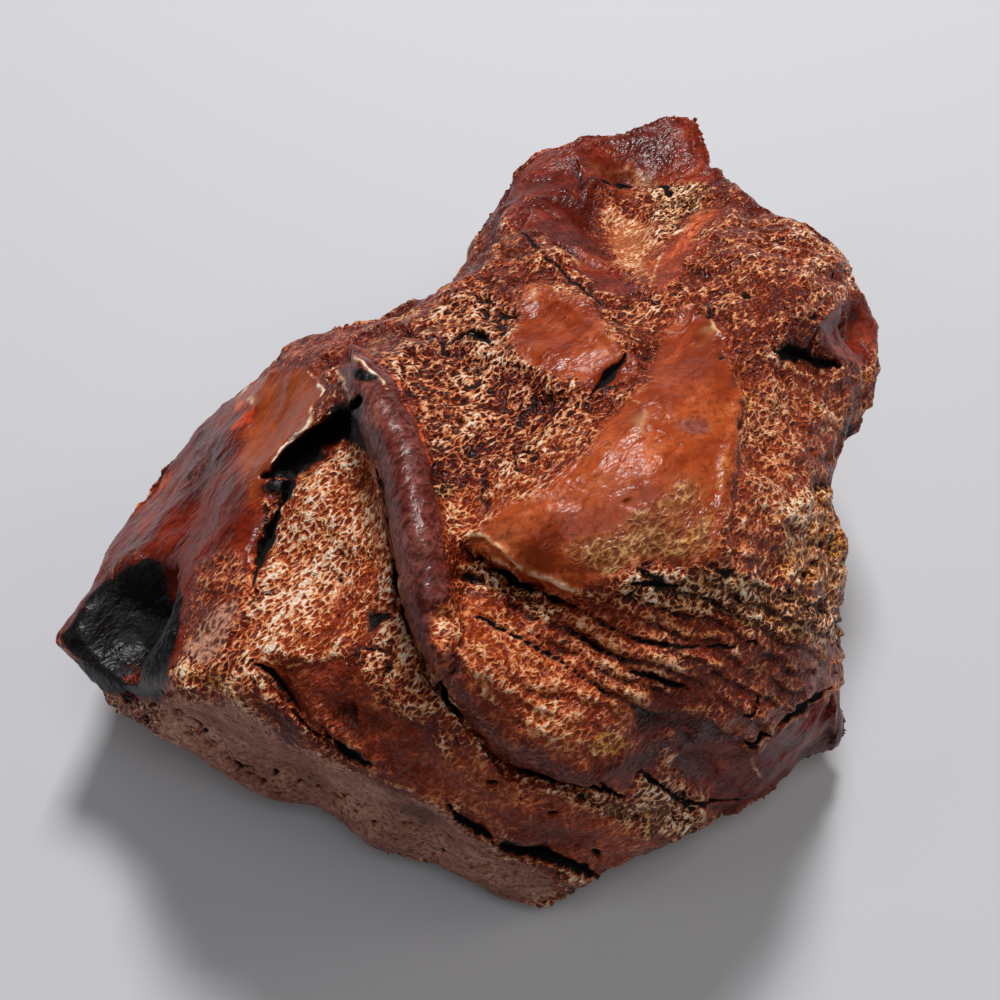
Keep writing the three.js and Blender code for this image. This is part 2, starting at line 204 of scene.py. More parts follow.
# The grounds that the picture shows, each with its outline in the picture. Later ones lie over earlier ones
grounds = {
    "cheek": {"grit": 0.06, "creamAndHighlight": 0.05, "warm": 0.15, "outline": [
        (230, 370), (262, 366), (310, 366), (320, 385), (300, 430), (272, 464), (262, 480), (262, 520),
        (250, 560), (243, 610), (215, 590), (190, 640), (172, 690), (168, 600), (150, 560), (130, 548),
        (104, 566), (88, 590), (70, 628), (40, 640), (60, 590), (80, 550), (140, 450), (185, 410)]},
    "cheekGrit": {"grit": 0.6, "creamAndHighlight": 0.45, "warm": 0.2, "outline": [
        (208, 560), (232, 548), (246, 570), (243, 612), (222, 588), (198, 618), (186, 650), (174, 640),
        (178, 600)]},
    # partly painted sheen: the plane's pale pinkish colour stands in partly for a soft reflection on it
    "plane": {"grit": 0.05, "creamAndHighlight": 0.42, "warm": 0.6, "outline": [
        (250, 372), (306, 370), (314, 388), (300, 425), (268, 464), (258, 500), (240, 500), (236, 440)]},
    "greyPatch": {"grit": 0.3, "creamAndHighlight": 0.3, "rind": 0.9, "olive": 0.3, "outline": [
        (232, 588), (238, 605), (226, 640), (206, 664), (186, 668), (184, 650), (206, 620)]},
    # painted shade: the underside of the overhanging tip is painted nearly black
    "shadeUnderTip": {"grit": 0.12, "creamAndHighlight": 0, "warm": 0, "blackStoneAndShade": 0.9, "outline": [
        (66, 660), (100, 650), (165, 688), (168, 722), (130, 712), (85, 690)]},
    "rindNet": {"grit": 0.8, "creamAndHighlight": 0.5, "warm": 0.2, "rind": 0.75, "outline": [
        (84, 684), (130, 700), (168, 700), (172, 760), (120, 740)]},
    "wall": {"grit": 0.14, "creamAndHighlight": 0.3, "warm": 0.3, "rind": 1, "outline": [
        (166, 688), (213, 684), (254, 706), (305, 742), (366, 768), (420, 785), (452, 810), (478, 838),
        (503, 852), (540, 862), (560, 890), (520, 925), (440, 900), (365, 870), (330, 830), (270, 820),
        (200, 780), (160, 760)]},
    "wallTop": {"grit": 0.85, "creamAndHighlight": 0.5, "warm": 0.5, "ochre": 0.35, "outline": [
        (166, 660), (205, 664), (250, 690), (300, 728), (330, 750), (300, 748), (254, 716), (213, 700),
        (168, 700)]},
    "gritField": {"grit": 0.85, "creamAndHighlight": 1, "warm": 1, "outline": [
        (285, 492), (325, 456), (358, 440), (380, 470), (392, 530), (404, 590), (402, 612), (372, 640),
        (340, 655), (300, 662), (262, 655), (252, 640), (258, 590), (272, 540)]},
    "lowerRed": {"grit": 0.35, "creamAndHighlight": 0.3, "warm": 0.42, "outline": [
        (248, 655), (300, 664), (345, 660), (372, 690), (440, 745), (480, 790), (450, 800), (366, 762),
        (300, 712)]},
    "creamStrip": {"grit": 1, "creamAndHighlight": 1, "warm": 0.5, "olive": 0.3, "outline": [
        (346, 660), (372, 642), (404, 612), (424, 645), (446, 688), (476, 728), (470, 745), (440, 728),
        (400, 712), (376, 690)]},
    "field": {"grit": 1, "creamAndHighlight": 0.8, "warm": 0.12, "outline": [
        (392, 345), (430, 318), (470, 290), (512, 305), (512, 350), (555, 390), (600, 398), (570, 440),
        (520, 470), (480, 510), (455, 530), (440, 480), (420, 420), (400, 380)]},
    "fieldFoot": {"grit": 0.8, "creamAndHighlight": 1, "warm": 0.9, "olive": 0.3, "outline": [
        (444, 490), (490, 478), (540, 446), (585, 425), (575, 446), (530, 482), (496, 508), (460, 540),
        (444, 540)]},
    "rib": {"grit": 0.1, "creamAndHighlight": 0, "warm": 0.1, "mauve": 0.8, "outline": [
        (336, 356), (368, 348), (388, 360), (410, 408), (432, 455), (441, 510), (445, 560), (449, 620),
        (460, 668), (448, 684), (430, 650), (411, 610), (397, 540), (384, 480), (362, 420)]},
    "margin": {"grit": 0.5, "creamAndHighlight": 0.25, "warm": 0.12, "outline": [
        (262, 345), (300, 325), (385, 305), (440, 265), (475, 210), (500, 195), (500, 240), (470, 285),
        (430, 315), (395, 345), (330, 362), (270, 366)]},
    "tile": {"grit": 0.16, "creamAndHighlight": 0.25, "warm": 0.6, "outline": [
        (512, 348), (520, 288), (548, 284), (578, 300), (612, 334), (640, 366), (600, 388), (558, 378)]},
    "farBlock": {"grit": 0.25, "creamAndHighlight": 0.12, "warm": 0.14, "outline": [
        (490, 205), (505, 150), (585, 120), (668, 95), (712, 95), (730, 150), (706, 182), (655, 186),
        (588, 190), (600, 245), (640, 295), (600, 280), (540, 230)]},
    "brownFace": {"grit": 0.2, "creamAndHighlight": 0.1, "warm": 0.3, "olive": 0.35, "outline": [
        (578, 150), (610, 150), (668, 172), (660, 188), (625, 190), (598, 184), (584, 168)]},
    "scoop": {"grit": 0.45, "creamAndHighlight": 0.95, "warm": 0.9, "outline": [
        (602, 205), (640, 212), (656, 238), (650, 282), (624, 266), (606, 240)]},
    "notchGrit": {"grit": 1, "creamAndHighlight": 1, "warm": 0.3, "olive": 0.8, "outline": [
        (652, 190), (706, 180), (704, 206), (684, 222), (664, 236), (652, 214)]},
    "orangeWall": {"grit": 0.3, "creamAndHighlight": 0.2, "warm": 0.8, "ember": 0.4, "outline": [
        (704, 206), (742, 206), (720, 232), (690, 262), (662, 296), (644, 290), (660, 250), (684, 222)]},
    "lump": {"grit": 0.9, "creamAndHighlight": 0.65, "warm": 0.4, "ochre": 0.2, "outline": [
        (705, 230), (750, 205), (800, 215), (856, 258), (884, 330), (876, 395), (830, 380), (780, 350),
        (730, 350), (700, 305), (672, 290)]},
    "lumpHollow": {"grit": 0.12, "creamAndHighlight": 0, "warm": 0.15, "outline": [
        (826, 312), (850, 296), (876, 320), (880, 356), (852, 366), (826, 350)]},
    "slope": {"grit": 0.62, "creamAndHighlight": 0.55, "warm": 0.55, "outline": [
        (735, 350), (790, 352), (880, 385), (866, 420), (840, 480), (850, 540), (836, 600), (740, 575),
        (724, 520), (738, 440)]},
    "slopeFoot": {"grit": 1, "creamAndHighlight": 0.9, "warm": 0.6, "ochre": 0.75, "outline": [
        (790, 500), (836, 478), (856, 530), (852, 590), (810, 600), (776, 570)]},
    "dome": {"grit": 0.05, "creamAndHighlight": 0.3, "warm": 0.75, "outline": [
        (468, 540), (500, 505), (548, 480), (590, 445), (625, 405), (650, 385), (662, 340), (686, 298),
        (722, 330), (738, 390), (736, 440), (722, 510), (722, 560), (690, 566), (650, 560), (610, 572),
        (575, 590), (535, 580), (500, 562)]},
    "domeFoot": {"grit": 0.3, "creamAndHighlight": 0.5, "warm": 0.7, "olive": 0.5, "outline": [
        (560, 548), (600, 528), (650, 500), (690, 470), (722, 500), (720, 562), (690, 568), (650, 562),
        (600, 572)]},
    "layers": {"grit": 0.55, "creamAndHighlight": 0.4, "warm": 0.4, "mauve": 0.35, "outline": [
        (455, 545), (500, 568), (570, 600), (620, 575), (740, 568), (856, 600), (860, 690), (832, 700),
        (760, 745), (690, 740), (640, 720), (560, 660), (470, 600)]},
    "layersTop": {"grit": 0.9, "creamAndHighlight": 0.8, "warm": 0.3, "olive": 0.6, "outline": [
        (600, 580), (650, 572), (740, 572), (840, 590), (852, 640), (800, 640), (700, 610), (620, 600)]},
    "creamLedge": {"grit": 1, "creamAndHighlight": 1, "warm": 0.3, "olive": 0.6, "outline": [
        (466, 562), (490, 566), (520, 584), (556, 606), (550, 620), (512, 604), (476, 584)]},
    "plate": {"grit": 0.6, "creamAndHighlight": 0.65, "warm": 0.85, "outline": [
        (440, 610), (470, 600), (500, 620), (580, 670), (636, 705), (636, 745), (600, 768), (570, 770),
        (520, 765), (472, 720), (446, 671)]},
    "plateStep": {"grit": 0.4, "creamAndHighlight": 0.1, "warm": 0.1, "blackStoneAndShade": 0.5, "outline": [
        (632, 702), (640, 700), (660, 740), (664, 790), (640, 800), (600, 782), (560, 772), (600, 766),
        (634, 750)]},
    "darkBand": {"grit": 0.4, "creamAndHighlight": 0.15, "warm": 0, "blackStoneAndShade": 0.5, "outline": [
        (640, 706), (690, 716), (744, 728), (742, 748), (690, 742), (646, 728)]},
    "ribTail": {"grit": 0.3, "creamAndHighlight": 0.2, "warm": 0.35, "mauve": 0.5, "outline": [
        (438, 636), (458, 656), (476, 696), (510, 732), (560, 758), (604, 768), (626, 790), (582, 783),
        (540, 777), (514, 768), (478, 732), (452, 696)]},
    "frontStrip": {"grit": 0.45, "creamAndHighlight": 0.4, "warm": 0.6, "ember": 0.2, "outline": [
        (456, 745), (480, 752), (515, 780), (560, 794), (620, 802), (640, 830), (612, 882), (540, 852),
        (504, 846), (480, 832), (455, 802)]},
    "gritEnd": {"grit": 1, "creamAndHighlight": 0.75, "warm": 0.3, "olive": 0.55, "outline": [
        (560, 790), (632, 800), (644, 770), (680, 790), (706, 826), (680, 842), (640, 838), (600, 816)]},
    "corner": {"grit": 0.5, "creamAndHighlight": 0.3, "warm": 0.85, "ember": 0.35, "outline": [
        (560, 830), (600, 822), (650, 842), (690, 846), (640, 872), (606, 884), (570, 864)]},
    "brokenEnd": {"grit": 0.22, "creamAndHighlight": 0.12, "warm": 0.05, "outline": [
        (690, 745), (760, 750), (835, 695), (862, 690), (862, 760), (770, 825), (720, 835), (706, 800),
        (670, 770)]},
    # painted shadow: the cleft beside the rib, which the rib shades, is painted black
    "cleftShadow": {"grit": 0.2, "creamAndHighlight": 0, "warm": 0, "blackStoneAndShade": 1, "outline": [
        (262, 482), (290, 446), (318, 428), (345, 398), (362, 404), (374, 440), (380, 466), (352, 446),
        (330, 452), (300, 470), (278, 492)]},
    # painted shade: the hollow of the tip is painted black
    "tipHollowShade": {"grit": 0.2, "creamAndHighlight": 0, "warm": 0, "blackStoneAndShade": 1, "outline": [
        (96, 585), (120, 562), (145, 556), (162, 570), (176, 600), (172, 640), (170, 688), (130, 664),
        (75, 650), (62, 640), (80, 612)]},
}
# How far the drawn borders wander, and how soft they are, in pixels
borders = {"grounds": 9, "stains": 12, "cracks": 3, "soft": 16}
# How much of each ground broke in ledges, and how much in dished chips
ledgeShares = {"layers": 1, "plate": 0.5, "slope": 0.4, "lump": 0.35}
chipShares = {"farBlock": 1, "margin": 1, "brokenEnd": 1, "cheek": 0.35, "lowerRed": 0.5, "frontStrip": 0.6,
              "slope": 0.6, "lump": 0.5, "plate": 0.3, "tile": 0.25}
# Patches on the sides that the picture doesn't show: strength, size in mm, seed, and where they fade in
hiddenPatches = {
    "ember": (0.8, 13, 16, 0.3, 0.7), "mauve": (0.8, 15, 17, 0.15, 0.5), "ochre": (0.7, 11, 18, 0.4, 0.7),
}
# Smaller stains and painted marks: picture x, y, half width, half height, turn, strength. Some pale ovals
# are painted highlights and most near-black ovals are painted shade
stains = {
    # painted highlights: the first six pale ovals, on a chip by the plane, on the margin, the lump and the
    # dome
    "creamAndHighlight": [(240, 388, 8, 16, 15, 1), (412, 312, 16, 12, -30, 1), (378, 338, 12, 10, -30, 1),
             (820, 272, 18, 26, 20, 1), (642, 422, 26, 11, -30, 0.65), (700, 335, 14, 12, -30, 0.6),
             (555, 283, 10, 8, 10, 1), (665, 750, 14, 8, 10, 1), (510, 762, 12, 5, 15, 1),
             (600, 596, 14, 8, 0, 1), (150, 662, 14, 16, 0, 0.5), (355, 742, 18, 8, 15, 0.7),
             (528, 298, 8, 10, 0, 0.8), (775, 345, 16, 6, 30, 0.8)],
    "ember": [(248, 575, 8, 42, 8, 1), (236, 412, 8, 24, 20, 0.8), (376, 562, 20, 44, -20, 0.75),
              (320, 622, 60, 12, 0, 0.55), (727, 338, 14, 9, 35, 0.6), (150, 500, 26, 60, 30, 0.35),
              (730, 420, 7, 46, 5, 0.35), (640, 455, 60, 14, -35, 0.35), (540, 500, 60, 12, -25, 0.45),
              (690, 232, 12, 34, 40, 0.6), (56, 645, 9, 16, 0, 0.9), (500, 762, 16, 7, 10, 0.7),
              (540, 810, 50, 22, 10, 0.4), (640, 852, 30, 14, -20, 0.7), (330, 735, 40, 10, 30, 0.4),
              (548, 882, 34, 10, 15, 0.7), (530, 790, 24, 8, 10, 0.6), (745, 395, 10, 22, 0, 0.7),
              (290, 520, 12, 30, 20, 0.4), (450, 640, 10, 30, -10, 0.5), (555, 640, 60, 6, 28, 0.5)],
    "ochre": [(376, 543, 13, 13, 0, 1), (207, 682, 10, 12, 0, 0.9), (722, 470, 12, 50, 10, 0.4),
              (605, 745, 24, 13, 0, 1), (600, 452, 40, 8, -40, 0.3), (690, 540, 30, 20, 0, 0.5),
              (748, 400, 8, 18, 0, 0.6), (822, 525, 14, 20, 0, 0.7)],
    "olive": [(452, 478, 22, 16, -20, 0.7), (745, 440, 8, 14, 0, 0.6), (420, 862, 40, 10, 15, 0.3)],
    "mauve": [(196, 470, 22, 62, 25, 0.9), (232, 505, 30, 40, 20, 0.5), (680, 660, 60, 24, 10, 0.5),
              (500, 660, 40, 24, 30, 0.4), (300, 690, 40, 14, 35, 0.4), (560, 330, 26, 20, 0, 0.25),
              (420, 870, 60, 14, 18, 0.4), (690, 430, 26, 20, -20, 0.5), (640, 420, 30, 12, -35, 0.5)],
    # painted shade: most near-black ovals sit in cracks, in the cleft and the hollow by the rib's top,
    # under the dome and on the shaded right side
    "blackStoneAndShade": [(425, 818, 70, 14, 32, 0.55), (300, 448, 20, 14, -30, 1), (362, 380, 22, 12, 50, 0.9),
             (265, 520, 4, 34, 14, 0.8), (800, 352, 26, 8, 15, 1), (830, 548, 8, 10, 0, 0.9),
             (806, 575, 8, 8, 0, 0.8), (610, 385, 10, 6, -30, 0.9), (845, 720, 16, 70, 5, 0.5),
             (660, 582, 26, 6, 0, 0.8), (640, 575, 12, 5, 0, 0.6), (720, 352, 3, 3, 0, 0.5),
             (470, 338, 24, 6, -20, 0.8), (408, 468, 5, 60, -12, 0.2), (855, 445, 10, 50, -10, 0.8),
             (560, 648, 18, 5, 25, 0.7)],
    "grit": [(196, 470, 20, 50, 25, 0.35), (150, 662, 12, 20, 0, 0.7)],
}
# Thin edges and veins: their width in pixels, how far they stand out in mm, and their shade. Some pale
# edges are painted highlights
edges = [
    {"width": 7, "lift": 0.15, "creamAndHighlight": 1, "at": [(306, 370), (319, 384), (314, 405), (300, 428),
        (284, 446), (268, 464)]},
    # painted highlights: pale lines along the edges of the rib's broken top
    {"width": 5, "lift": 0.1, "creamAndHighlight": 1, "at": [(332, 364), (346, 386), (364, 404)]},
    {"width": 5, "lift": 0.1, "creamAndHighlight": 1, "at": [(356, 362), (372, 374), (388, 394)]},
    {"width": 4, "lift": 0.1, "ember": 0.65, "at": [(390, 366), (411, 410), (431, 455), (440, 510),
        (444, 560), (448, 620)]},
    {"width": 6, "lift": 0.25, "creamAndHighlight": 0.9, "at": [(457, 541), (478, 533), (500, 542), (522, 566),
        (548, 577), (572, 588), (604, 590)]},
    {"width": 4, "lift": 0.15, "creamAndHighlight": 0.9, "at": [(480, 548), (503, 556), (520, 575), (548, 602)]},
    {"width": 8, "lift": 0.2, "creamAndHighlight": 1, "at": [(776, 354), (800, 370), (822, 376), (844, 382)]},
    {"width": 5, "lift": 0.2, "creamAndHighlight": 0.9, "at": [(256, 655), (276, 668), (300, 664), (340, 656),
        (372, 640), (402, 612)]},
    {"width": 3, "lift": 0.1, "creamAndHighlight": 0.4, "at": [(580, 148), (604, 145), (640, 157), (676, 172)]},
    {"width": 4, "lift": 0.1, "creamAndHighlight": 0.7, "at": [(602, 186), (630, 192), (668, 190), (706, 182)]},
    {"width": 5, "lift": 0.15, "creamAndHighlight": 1, "at": [(667, 240), (660, 262), (650, 286)]},
    {"width": 5, "lift": 0.2, "ember": 0.9, "at": [(742, 210), (720, 228), (698, 250), (674, 280),
        (652, 296)]},
    {"width": 5, "lift": 0.15, "creamAndHighlight": 0.9, "at": [(509, 342), (514, 358), (542, 368), (558, 384)]},
    {"width": 4, "lift": 0.15, "creamAndHighlight": 0.45, "at": [(740, 380), (736, 420), (722, 470), (716, 520),
        (722, 558)]},
    {"width": 5, "lift": 0.15, "creamAndHighlight": 0.9, "at": [(672, 286), (700, 308), (720, 336)]},
    # painted highlight: a pale glint along the lump's far rim
    {"width": 6, "lift": 0.15, "creamAndHighlight": 0.8, "at": [(784, 222), (820, 233), (848, 256), (864, 290)]},
    {"width": 4, "lift": 0.15, "creamAndHighlight": 0.7, "at": [(168, 690), (213, 686), (254, 708), (305, 743),
        (366, 769), (420, 786), (452, 808)]},
    {"width": 4, "lift": 0.15, "creamAndHighlight": 0.8, "at": [(452, 808), (478, 838), (503, 851), (540, 858),
        (575, 870), (606, 882)]},
    {"width": 5, "lift": 0.15, "creamAndHighlight": 0.5, "at": [(167, 690), (166, 715), (165, 748)]},
    {"width": 4, "lift": 0.15, "creamAndHighlight": 0.9, "at": [(747, 755), (756, 770), (768, 784)]},
    {"width": 4, "lift": 0.2, "creamAndHighlight": 0.8, "at": [(640, 655), (660, 640), (680, 622), (700, 604)]},
    {"width": 4, "lift": 0.15, "creamAndHighlight": 0.7, "at": [(680, 668), (710, 662), (740, 668), (770, 664)]},
    {"width": 5, "lift": 0.15, "creamAndHighlight": 0.7, "at": [(724, 508), (730, 540), (742, 566)]},
    {"width": 4, "lift": 0.1, "creamAndHighlight": 0.7, "at": [(594, 394), (640, 398), (646, 420), (628, 440)]},
    {"width": 4, "lift": 0.15, "creamAndHighlight": 0.6, "at": [(775, 400), (800, 392), (830, 400), (846, 430)]},
]
# Open cracks: their width and depth in mm. Their insides are painted nearly black as shade
cracks = [
    {"width": 1.1, "depth": 1.9, "at": [(384, 470), (392, 530), (403, 600), (418, 640), (436, 678),
        (454, 702), (472, 724), (500, 756), (516, 772), (545, 779), (582, 785), (622, 797)]},
    {"width": 0.8, "depth": 1.3, "at": [(246, 660), (268, 674), (287, 691), (305, 717), (328, 737),
        (370, 761)]},
    {"width": 0.8, "depth": 1.4, "at": [(450, 800), (465, 819), (480, 833), (503, 844), (534, 850),
        (562, 858), (604, 878)]},
    {"width": 2.6, "depth": 2.6, "at": [(362, 404), (338, 428), (312, 442), (290, 458), (262, 478)]},
    {"width": 1.0, "depth": 1.4, "at": [(296, 462), (282, 500), (268, 535), (256, 565), (250, 594)]},
    {"width": 1.2, "depth": 1.6, "at": [(459, 545), (480, 556), (505, 576), (537, 590), (575, 607)]},
    {"width": 0.7, "depth": 1.0, "at": [(570, 633), (591, 642), (612, 654)]},
    {"width": 0.8, "depth": 1.2, "at": [(632, 672), (661, 680), (692, 691)]},
    {"width": 0.8, "depth": 1.0, "at": [(590, 396), (608, 372), (628, 352)]},
    {"width": 0.8, "depth": 1.0, "at": [(452, 346), (472, 333), (496, 343)]},
    {"width": 1.3, "depth": 1.6, "at": [(774, 346), (802, 354), (840, 366)]},
    {"width": 0.8, "depth": 1.2, "at": [(748, 752), (772, 732), (797, 713), (828, 689)]},
    {"width": 0.9, "depth": 0.9, "at": [(744, 716), (754, 708), (765, 699)]},
    {"width": 0.7, "depth": 0.7, "at": [(630, 584), (650, 580), (676, 582)]},
    {"width": 0.4, "depth": 0.5, "at": [(470, 612), (510, 632), (560, 660), (610, 694)]},
    {"width": 0.4, "depth": 0.5, "at": [(600, 622), (640, 640), (700, 650), (760, 640)]},
    {"width": 0.6, "depth": 0.6, "at": [(640, 770), (680, 800), (720, 812), (756, 806)]},
    {"width": 0.4, "depth": 0.4, "at": [(598, 184), (640, 190), (680, 186)]},
    {"width": 0.35, "depth": 0.4, "at": [(520, 232), (545, 255), (580, 285), (604, 312)]},
]
# Holes in the rind and the rough ground: x, y, half width, half height, turn, and depth in mm. Their
# insides are painted nearly black as shade
holes = [
    (128, 702, 9, 6, 30, 0.9), (110, 711, 8, 5, 20, 0.8), (147, 719, 9, 6, 30, 0.9),
    (133, 731, 7, 4, 20, 0.7), (152, 738, 5, 4, 0, 0.6), (178, 715, 9, 4, 15, 0.9),
    (196, 723, 13, 4, 25, 0.9), (190, 735, 9, 5, 20, 1), (212, 745, 9, 4, 25, 0.9),
    (206, 732, 5, 3, 0, 0.6), (238, 766, 6, 4, 30, 0.8), (250, 775, 9, 5, 15, 1),
    (264, 781, 5, 4, 0, 0.8), (229, 757, 4, 3, 0, 0.6), (276, 772, 4, 3, 0, 0.5),
    (338, 797, 8, 5, 10, 0.9), (352, 812, 5, 4, 0, 0.6), (372, 824, 4, 3, 0, 0.5),
    (300, 780, 4, 3, 0, 0.5), (318, 786, 5, 3, 20, 0.5), (420, 846, 6, 4, 0, 0.7),
    (442, 852, 4, 3, 0, 0.5), (470, 870, 4, 3, 0, 0.5), (552, 815, 8, 6, 0, 0.8),
    (597, 858, 8, 6, 0, 0.8), (522, 806, 4, 3, 0, 0.5), (830, 547, 9, 9, 0, 1), (806, 575, 8, 7, 0, 1),
    (819, 562, 5, 5, 0, 0.8), (790, 592, 4, 4, 0, 0.6), (812, 530, 4, 4, 0, 0.6),
    (668, 192, 5, 5, 0, 0.7), (722, 356, 4, 3, 0, 0.5), (492, 392, 5, 4, 0, 0.6),
    (745, 292, 6, 5, 30, 0.7), (560, 700, 4, 3, 0, 0.4),
]
# Shallow dishes, drawn in the same way
dishes = [
    (354, 722, 36, 17, 18, 1.1), (625, 238, 30, 40, 10, 0.8), (852, 332, 24, 30, 0, 0.9),
    (560, 330, 34, 22, 30, 0.4), (262, 420, 24, 44, 20, 0.5), (700, 775, 34, 14, 20, 0.5),
    (150, 500, 26, 50, 30, 0.4), (690, 335, 20, 30, -20, 0.3), (420, 820, 40, 12, 30, 0.5),
]
# Long rounded ribs: their width in pixels and how far they stand out in mm
ribs = [
    {"width": 52, "lift": 1.2, "at": [(356, 352), (374, 400), (400, 450), (413, 510), (421, 560),
        (430, 612), (446, 668)]},
    {"width": 30, "lift": 0.5, "at": [(470, 548), (500, 556), (530, 584), (580, 594), (620, 582),
        (680, 574)]},
    {"width": 26, "lift": 0.5, "at": [(446, 672), (470, 716), (505, 752), (545, 768), (600, 778)]},
    {"width": 30, "lift": 0.6, "at": [(256, 676), (290, 704), (330, 744), (380, 772), (440, 796),
        (480, 836), (540, 854), (600, 876)]},
    {"width": 24, "lift": 0.5, "at": [(512, 350), (524, 292), (552, 286), (584, 304), (614, 336),
        (636, 364)]},
    {"width": 22, "lift": 0.5, "at": [(560, 610), (600, 632), (650, 656), (720, 668)]},
    {"width": 20, "lift": 0.4, "at": [(620, 690), (680, 708), (740, 718), (790, 706)]},
    {"width": 34, "lift": 0.7, "at": [(690, 262), (740, 240), (790, 246), (830, 270)]},
    {"width": 24, "lift": 0.5, "at": [(785, 300), (812, 318), (835, 310)]},
    {"width": 20, "lift": 0.5, "at": [(742, 390), (736, 440), (726, 500), (730, 560)]},
    {"width": 28, "lift": 0.6, "at": [(395, 330), (432, 312), (470, 280), (500, 240)]},
]


# The stone: its fine surface over the CAD solid
stoneForm = {
    "voxel": 0.31,         # mm
    "most": 190000,        # triangles at the end
    "rounds": 60,          # of rounding, which takes away the flat facets
    "rested": 0.05,        # mm, the spot that it lies on ends at this height
    "clearance": 0.15,     # mm, the rest stays this far off the floor
    # each form: its height or depth in mm, and its size or spacing in mm
    "swell": (0.65, 5),    # lumps of rough ground
    "crumb": (0.3, 2.3),   # grains of rough ground
    "ripple": (0.03, 1.5),  # unevenness of smooth faces
    "pit": (0.8, 2.6),     # pits of the rind
    "rim": 0.12,           # mm, the rims of the pits
    "crease": (0.75, 6),   # creases between rough lumps
    "chips": ((1.3, 10), (0.455, 4.2)),  # dished chips of broken faces, which meet in sharp edges
    "hidden": (0.5, 6.5),  # crests of the sides that the picture doesn't show
    "ledge": 0.7,          # mm, drop of each ledge where the stone broke in layers
    "ledgeRun": 21,        # pixels from one ledge to the next
}


# Mesh points as an array in mm, and the other way
def pointsOf(mesh):
    flat = np.empty(len(mesh.vertices) * 3)
    mesh.vertices.foreach_get("co", flat)
    return flat.reshape(-1, 3) * 1000


def normalsOf(mesh):
    flat = np.empty(len(mesh.vertices) * 3)
    mesh.vertex_normals.foreach_get("vector", flat)
    return flat.reshape(-1, 3)


def movePoints(mesh, points):
    mesh.vertices.foreach_set("co", (points / 1000).ravel())
    mesh.update()


# The middle of each point's neighbours, after some rounds that count only as much as weight says
def averaged(mesh, points, rounds, weight=1.0):
    flat = np.empty(len(mesh.edges) * 2, np.int32)
    mesh.edges.foreach_get("vertices", flat)
    one, other = flat.reshape(-1, 2).T
    count = np.bincount(flat, minlength=len(points))
    middle = points.copy()
    for turn in range(rounds):
        total = np.stack([np.bincount(one, middle[other, axis], len(points))
                          + np.bincount(other, middle[one, axis], len(points)) for axis in range(3)],
                         axis=1)
        middle += (total / count[:, None] - middle) * np.reshape(weight, (-1, 1))
    return middle


def makeFineStone():
    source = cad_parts["jasper"]
    stone = bpy.data.objects.new("fineJasper", source.data.copy())
    bpy.context.collection.objects.link(stone)
    bpy.context.view_layer.objects.active = stone
    stone.select_set(True)
    bpy.ops.object.mode_set(mode="EDIT")
    bpy.ops.mesh.select_all(action="SELECT")
    bpy.ops.mesh.remove_doubles(threshold=1e-5)
    bpy.ops.object.mode_set(mode="OBJECT")
    remesh = stone.modifiers.new("fine skin", "REMESH")
    remesh.mode = "VOXEL"
    remesh.voxel_size = stoneForm["voxel"] / 1000
    bpy.ops.object.modifier_apply(modifier=remesh.name)
    return stone


# How much each point has of everything in common, with the borders wandering like broken stone
def survey(points, normals):
    picture = inPicture(points)
    towards = ramp(-(normals @ sight), 0.0, 0.3)
    wander = np.stack([swells(points, 4.5, 11, 4), swells(points, 4.5, 12, 4)], axis=1)
    uneven = picture + borders["grounds"] * wander
    has = {name: np.full(len(points), float(value)) for name, value in common.items()}
    # the sides that the picture doesn't show have patches of the same kinds
    patchy = swells(points, 20, 13, 3)
    has["grit"] -= 0.6 * (1 - towards) * ramp(patchy, -0.05, 0.3)
    has["warm"] += 0.3 * (1 - towards) * swells(points, 14, 14, 2)
    has["creamAndHighlight"] += 0.5 * (1 - towards) * swells(points, 12, 15, 3) - 0.1 * (1 - towards)
    for name, (strength, size, seed, low, high) in hiddenPatches.items():
        has[name] += strength * (1 - towards) * ramp(swells(points, size, seed, 3), low, high)
    has["rind"] += 0.8 * (1 - towards) * ramp(points[:, 2] + 4 * patchy, 11, 3)  # low down
    cover = {}
    for name, ground in grounds.items():
        cover[name] = towards * inside(uneven, ground["outline"], borders["soft"])
        for quality in has:
            has[quality] += (ground.get(quality, 0) - has[quality]) * cover[name]
    further = picture + borders["stains"] * wander
    for quality, ovals in stains.items():
        for *place, strength in ovals:
            has[quality] = np.maximum(has[quality], strength * towards * oval(further, *place))
    return picture, towards, uneven, has, cover


# A row of ledges that rise along the picture's down-left and then drop
def ledges(points, uneven, run):
    down = uneven @ (-0.42, 0.91) + 14 * swells(points, 11, 41, 2)
    part = down / run % 1
    return (part - ramp(part, 0.82, 1.0) - 0.4) * ramp(swells(points, 7, 42, 2), -0.6, 0.1)


